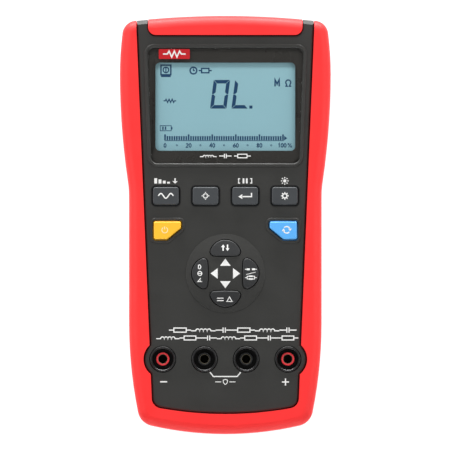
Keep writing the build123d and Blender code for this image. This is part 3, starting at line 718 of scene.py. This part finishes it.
on_key("sign_frequency", wave_icon(), "frequency_key")
on_key("sign_calibration", target_icon(), "calibration_key")
on_key("sign_enter", return_icon(), "enter_key")
on_key("sign_setup", gear_icon(), "setup_key")
on_key("sign_power", power_icon(), "power_key", "ink_pale", dx=-1.2, dy=0.2, scale=1.05)
on_key("sign_function", cycle_icon(), "function_key", dx=1.6, dy=0.3, scale=1.3)

# The round pad is the cap of a ball; its keys stand a little proud of it.
PAD_R = 18.0
PAD_RISE = 1.8  # of the pad's middle above the panel
PAD_EDGE = 0.3  # of its rim above the panel
PROUD = 0.65  # of its keys above the ball
KEY_REACH = 11.55  # from the pad's middle to the signs on its keys
WAYS = {"up": (0, 1), "left": (-1, 0), "down": (0, -1), "right": (1, 0)}
BALL = (PAD_R**2 + (PAD_RISE - PAD_EDGE) ** 2) / (2 * (PAD_RISE - PAD_EDGE))
pad_centre = (span("left_key")[0] + span("right_key")[1]) / 2
pad_x, pad_y = pad_centre.x, (span("down_key")[0].y + span("up_key")[1].y) / 2


def pad_height(proud=0.0):
    top = FACE + PAD_RISE - BALL
    ball = BALL + proud

    def height(x, y):
        return top + math.sqrt(ball**2 - (x - pad_x) ** 2 - (y - pad_y) ** 2)

    return height


arrow = fan([(-2.42, 3.5), (2.42, 3.5), (0, 6.75)])
for i, name in enumerate(WAYS):
    lay(f"arrow_{name}", moved(moved(arrow, turn=90 * i), pad_x, pad_y), pad_height(), "ink_white", "meter")

on_dome = pad_height(PROUD)


def on_pad_key(name, shapes, way, dx=0.0, dy=0.0):
    x = pad_x + WAYS[way][0] * KEY_REACH + dx
    y = pad_y + WAYS[way][1] * KEY_REACH + dy
    return lay(name, moved(shapes, x, y), on_dome, "ink_white", f"{way}_key")


on_pad_key("sign_transfer", moved(transfer_icon(), scale=1.35), "up", dy=0.2)
left_signs = moved(loss_icon(), dy=3.0, scale=1.25) + moved(slashed_ring_icon(), scale=1.3)
left_signs += moved(angle_icon(), dy=-3.0, scale=1.05)
on_pad_key("sign_quantity", left_signs, "left", dx=-0.1)
right_signs = moved(series_icon(), dy=1.9, scale=0.85) + bar((2.2, 0.6), (-2.2, -0.5), 0.26)
right_signs += moved(parallel_icon(), dy=-1.9, scale=0.95)
on_pad_key("sign_circuit", right_signs, "right", dx=0.1)
relative = moved(balance_icon(), dx=-2.3, scale=1.25) + moved(delta_icon(), dx=1.9, scale=1.1)
on_pad_key("sign_relative", relative, "down", dy=-0.3)

# Component signs in place of words, above the sockets and under the display.
SOCKETS = {m["name"]: Vector(m["pos_m"]) / MM for m in frame["record"]["mounts"] if m["kind"] == "bore"}
socket_y = SOCKETS["socket_plus"].y
upper = [(resistor_sign(9), 9), (inductor_sign(10), 10), (capacitor_sign(7), 7)] * 2
on_panel("circuit_upper", circuit_line(upper), 3.4, socket_y + UPPER_UP, scale=1.12)
lower = [(inductor_sign(10), 10), (resistor_sign(9), 9), (capacitor_sign(7), 7)] * 2
lower.append((resistor_sign(9), 9))
on_panel("circuit_lower", circuit_line(lower), 0.9, socket_y + LOWER_UP, scale=1.065)

guard_left, guard_right = SOCKETS["socket_guard_left"], SOCKETS["socket_guard_right"]
bracket = [(guard_left.x + 2.5, -5.9), (guard_left.x + 4.1, -7.9),
           (guard_right.x - 4.1, -7.9), (guard_right.x - 2.5, -5.9)]
on_panel("guard_bracket", band(bracket, 0.5), 0, socket_y)
on_panel("guard_sign", shield_icon() + bar((-4.6, 0), (-1.9, 0), 0.34) + bar((1.9, 0), (4.6, 0), 0.34),
         0, socket_y - SIGN_DOWN - 0.05)
minus = bar((-1.6, 0), (1.6, 0), 0.6)
on_panel("minus_sign", minus, SOCKETS["socket_minus"].x + 0.4, socket_y - SIGN_DOWN)
plus = plus_shape(1.6, 0.56)
on_panel("plus_sign", plus, SOCKETS["socket_plus"].x - 1.1, socket_y - SIGN_DOWN - 0.1)

# On the window and the badge.
window_signs = circuit_line([(inductor_sign(8), 8), (capacitor_sign(6), 6), (resistor_sign(8), 8)], 1.2)
on_panel("window_signs", window_signs, 0, lens_low.y + 3.1, scale=0.95, height=lens_high.z)
badge_low, badge_high = span("nameplate")
badge = (badge_low + badge_high) / 2
pulse = [(-5.2, 0), (-3.2, 0), (-2.4, 1.35), (-1.2, -1.35), (0, 1.35), (1.2, -1.35), (2.4, 1.35),
         (3.2, 0), (5.2, 0)]
on_panel("badge_sign", band(pulse, 0.6), badge.x, badge.y, height=badge_high.z)


# ---------------------------------------------------------------- display marks
lcd_low, lcd_high = span("lcd_glass")
view_mid = ((lcd_low + lcd_high) / 2).xy
SLANT = 0.13  # how far the large figures lean, across for each unit up


def on_display(name, shapes, material="segment"):
    """Marks placed from the middle of the viewing area."""
    return lay(name, moved(shapes, *view_mid), lcd_high.z, material, "meter")


def figure(lit, wide, tall, stroke, gap):
    """A seven-segment figure, upright, its lower left corner at the origin: lit names the segments."""
    w, half = stroke / 2, tall / 2
    flat = [(-w + gap, w), (wide + w - gap, w), (wide - w - gap, -w), (w + gap, -w)]
    side = [(-w, half + w - gap), (-w, gap), (0, gap), (w, w + gap), (w, half - w - gap)]
    bar_shape = [(w, w), (wide - w, w), (wide - gap, 0), (wide - w, -w), (w, -w), (gap, 0)]

    def flipped(points, across=False, over=False):
        return [(wide - x if across else x, -y if over else y) for x, y in points]

    shapes = {"a": moved([flat], 0, tall), "d": [flipped(flat, over=True)], "g": moved([bar_shape], 0, half),
              "f": moved([side], 0, half), "b": moved([flipped(side, across=True)], 0, half),
              "e": moved([flipped(side, over=True)], 0, half),
              "c": moved([flipped(side, across=True, over=True)], 0, half)}
    return [shape for name in lit for shape in shapes[name]]


DIGIT = (5.9, 11.5, 1.6, 0.12)  # width, height, stroke and gap between segments
reading = moved(figure("abcdef", *DIGIT), -6.1, slant=SLANT)
reading += moved(figure("def", *DIGIT), 3.7, slant=SLANT)
reading += box_shape((11.0, -0.8), (12.4, 0.6))
on_display("reading", reading)

capital_m = band([(-0.95, -1.55), (-0.95, 1.55), (0, -0.5), (0.95, 1.55), (0.95, -1.55)], 0.72)
omega = band([(-1.35, -1.45), (-0.5, -1.45), (-0.72, -1.0)] + arc((0, 0.25), 1.15, 222, -42, 16)
             + [(0.72, -1.0), (0.5, -1.45), (1.35, -1.45)], 0.6)
on_display("unit", moved(capital_m, 23.7, 10.9) + moved(omega, 28.8, 10.9))

frame_icon = outline_box((0, 0.3), (4.5, 4.4), 0.65) + ring((0, 0.3), 1.25, 0.55)
frame_icon += bar((-2.2, -2.6), (2.2, -2.6), 0.75) + bar((0, -0.7), (0, 1.3), 0.5)
clock_icon = ring((0, 0), 1.4, 0.6) + band([(0, 0.9), (0, 0), (0.65, 0)], 0.45)
on_display("state_marks",
           moved(frame_icon, -27.2, 16.6) + moved(clock_icon, -14.6, 16.6, scale=1.1)
           + moved(resistor_sign(6.0, 2.0, 0.6), -9.2, 16.6))
zigzag = [(-2.9, 0), (-2.1, 0), (-1.75, 0.75), (-1.05, -0.75), (-0.35, 0.75), (0.35, -0.75), (1.05, 0.75),
          (1.75, -0.75), (2.1, 0), (2.9, 0)]
on_display("quantity_mark", moved(band(zigzag, 0.5), -25.4, 2.75))

cell = outline_box((0, 0), (5.0, 2.3), 0.32) + box_shape((2.66, -0.55), (3.1, 0.55))
cell += box_shape((-1.6, -0.75), (-0.95, 0.75)) + box_shape((-0.4, -0.75), (0.25, 0.75))
on_display("battery_mark", moved(cell, -27.3, -9.8))

SCALE_X, SCALE_Y, SCALE_LONG = -27.6, -15.5, 54.0  # left end, foot and length of the bar scale
STEPS, TICK, TICK_TALL, TICK_LOW = 50, 0.72, 2.9, 2.1
scale = bar((SCALE_X - 0.2, SCALE_Y), (SCALE_X + SCALE_LONG + 0.4, SCALE_Y), 0.3)
for i in range(STEPS + 1):
    x = SCALE_X + SCALE_LONG * i / STEPS
    tall = TICK_TALL if i % 10 == 0 else TICK_LOW
    scale += box_shape((x - TICK / 2, SCALE_Y + 0.25), (x + TICK / 2, SCALE_Y + tall))
scale_end = SCALE_X + SCALE_LONG
scale += [[(scale_end + 0.55, SCALE_Y + 2.2), (scale_end + 0.55, SCALE_Y + 0.1),
           (scale_end + 1.9, SCALE_Y + 1.15)]]
on_display("bar_scale", scale)

NUMERALS = {
    "0": ([(0.45, 0), (0, 0.45), (0, 1.35), (0.45, 1.8), (0.9, 1.35), (0.9, 0.45)], True),
    "1": ([(0.15, 1.35), (0.5, 1.8), (0.5, 0)], False),
    "2": ([(0, 1.35), (0.4, 1.8), (0.85, 1.45), (0.85, 1.1), (0, 0), (0.95, 0)], False),
    "4": ([(0.7, 0), (0.7, 1.8), (0, 0.6), (1.0, 0.6)], False),
    "6": ([(0.8, 1.8), (0, 0.9), (0, 0.3), (0.45, 0), (0.9, 0.35), (0.85, 0.85), (0.1, 0.95)], False),
    "8": ([(0.45, 0.95), (0.05, 1.35), (0.45, 1.8), (0.85, 1.35), (0.45, 0.95), (0.9, 0.45), (0.45, 0),
           (0, 0.45), (0.45, 0.95)], False),
}


def numeral(text):
    """Small figures, centred on the origin."""
    pitch, shapes = 1.35, []
    for i, digit in enumerate(text):
        points, closed = NUMERALS[digit]
        shapes += moved(band(points, 0.4, closed), i * pitch)
    return moved(shapes, -(pitch * (len(text) - 1) + 0.9) / 2, -0.9)


marks = []
for i in range(6):
    x = SCALE_X + SCALE_LONG * i / 5
    marks += moved(numeral(str(20 * i)), x - (0.4 if i == 5 else 0), SCALE_Y - 2.15)
    if i < 5:
        marks += moved(ring((0, 0), 0.32, 0.22, 12), x + SCALE_LONG / 10, SCALE_Y - 2.1)
percent = bar((-0.6, -0.9), (0.6, 0.9), 0.34) + ring((-0.6, 0.55), 0.32, 0.3, 10)
percent += ring((0.6, -0.55), 0.32, 0.3, 10)
marks += moved(percent, scale_end + 3.1, SCALE_Y - 2.15)
on_display("scale_numerals", marks)


# ---------------------------------------------------------------- the back and the battery
label_low, label_high = span("rating_label")
label_mid = (label_low + label_high) / 2


def on_back(name, shapes, x, y, height, material, body="meter"):
    """Marks on a surface that looks down, drawn as seen from behind."""
    seen = [[(-px, py) for px, py in shape] for shape in shapes]
    return lay(name, moved(seen, x, y), height, material, body, up=-1)


LABEL_LEFT = -17.5  # where the label's lines begin, from its middle
rules = []
for i, long in enumerate((19, 15, 21)):
    y = 5.0 - 2.6 * i
    rules += bar((LABEL_LEFT, y), (LABEL_LEFT + long, y), 0.5)
rules += outline_box((11.8, 2.4), (8.0, 7.2), 0.45) + moved(wave_icon(5.0), 11.8, 2.4)
BAR_WIDTHS = [0.5, 0.25, 0.7, 0.25, 0.4, 0.25, 0.9, 0.4, 0.25, 0.6, 0.25, 0.4, 0.7, 0.25, 0.5, 0.25,
              0.9, 0.3, 0.5]  # chosen to mean nothing
x = LABEL_LEFT
for width in BAR_WIDTHS:
    rules += box_shape((x, -6.8), (x + width, -3.6))
    x += width + 0.55
rules += moved(circuit_line([(inductor_sign(6), 6), (capacitor_sign(5), 5)]), 10.8, -5.2)
on_back("label_print", rules, label_mid.x, label_mid.y, label_low.z, "ink_dark")

cover_low, cover_high = span("battery_cover")
cover_mid = (cover_low + cover_high) / 2
door_mark = outline_box((0, 0), (9, 5), 0.5) + box_shape((4.75, -1.2), (5.6, 1.2))
door_mark += bar((-2.6, 0), (-0.9, 0), 0.5) + bar((0.9, 0), (2.6, 0), 0.5)
door_mark += box_shape((1.5, 0.25), (2.0, 0.85)) + box_shape((1.5, -0.85), (2.0, -0.25))
on_back("door_mark", door_mark, 0, cover_mid.y - 4, cover_low.z, "ink_grey", "battery_cover")

cell_low, cell_high = span("battery")
cell_mid = (cell_low + cell_high) / 2
gold_band = box_shape((-8.0, -10.5), (8.0, 10.5))
on_back("battery_band", gold_band, cell_low.x + 12, cell_mid.y, cell_low.z, "ink_gold")
signs = moved(plus_shape(2.0, 0.8), 0, 6)
signs += moved(bar((-2, 0), (2, 0), 0.8), 0, -6)
on_back("battery_signs", signs, cell_high.x - 9, cell_mid.y, cell_low.z, "ink_white")


# ---------------------------------------------------------------- studio
HIGH_AIM, LOW_AIM = (0, 0, 0.02), (0, 0, 0.03)  # metres, like all lengths from here on


def softbox(name, place, aim, size, power):
    light = bpy.data.lights.new(name, "AREA")
    light.shape = "RECTANGLE"
    light.size, light.size_y = size
    light.energy = power
    lamp = bpy.data.objects.new(name, light)
    lamp.location = place
    lamp.rotation_euler = (Vector(aim) - Vector(place)).to_track_quat("-Z", "Y").to_euler()
    scene.collection.objects.link(lamp)


softbox("display_end", (-0.15, 1.25, 1.15), HIGH_AIM, (1.3, 0.5), 15.0)
softbox("low_display_end", (0.0, 1.0, 0.12), LOW_AIM, (1.3, 0.16), 24.0)
softbox("socket_end", (0.1, -1.3, 1.2), HIGH_AIM, (1.3, 0.5), 2.5)
softbox("low_socket_end", (0.0, -1.1, 0.3), LOW_AIM, (1.3, 0.25), 4.5)
softbox("left_side", (-1.2, 0.1, 1.05), HIGH_AIM, (0.5, 1.3), 7.0)
softbox("right_side", (1.2, 0.0, 1.05), HIGH_AIM, (0.5, 1.3), 6.5)

world = bpy.data.worlds.new("studio")
world.use_nodes = True
backdrop = world.node_tree.nodes["Background"]
backdrop.inputs["Color"].default_value = (1, 1, 1, 1)
backdrop.inputs["Strength"].default_value = 0.22
scene.world = world

floor_mesh = bpy.data.meshes.new("floor")
half = 4.0
floor_corners = [(-half, -half, 0), (half, -half, 0), (half, half, 0), (-half, half, 0)]
floor_mesh.from_pydata(floor_corners, [], [(0, 1, 2, 3)])
floor = bpy.data.objects.new("floor", floor_mesh)
floor.location.z = -0.0001  # a hair under the feet, so that the two never share a plane
floor_nodes = Nodes("floor")
paper = floor_nodes.add("ShaderNodeBsdfPrincipled", {
    "Base Color": (0.35, 0.35, 0.35, 1), "Roughness": 0.9, "Specular IOR Level": 0.1,
    "Emission Color": (1, 1, 1, 1), "Emission Strength": 0.85})
floor_mesh.materials.append(floor_nodes.finish(paper.outputs[0]))
scene.collection.objects.link(floor)

# The camera looks straight down at the panel from far off, with the display end up.
DROP = 0.005  # from the highest point down to the level that the view is sized at
PICTURE = 0.2059  # width of the view at that level
DISTANCE = 1.6  # from that level up to the camera
SHIFT = -0.00015  # sideways, so that the meter stands in the view as in the photograph
SENSOR = 36.0
top = CAD_BOX[1][2]
lens_camera = bpy.data.cameras.new("camera")
lens_camera.sensor_width = SENSOR
lens_camera.lens = SENSOR * DISTANCE / PICTURE
lens_camera.clip_start, lens_camera.clip_end = 0.05, 20.0
camera = bpy.data.objects.new("camera", lens_camera)
camera.location = (SHIFT, 0.0, top - DROP + DISTANCE)
scene.collection.objects.link(camera)
scene.camera = camera
scene.view_settings.view_transform = "Standard"
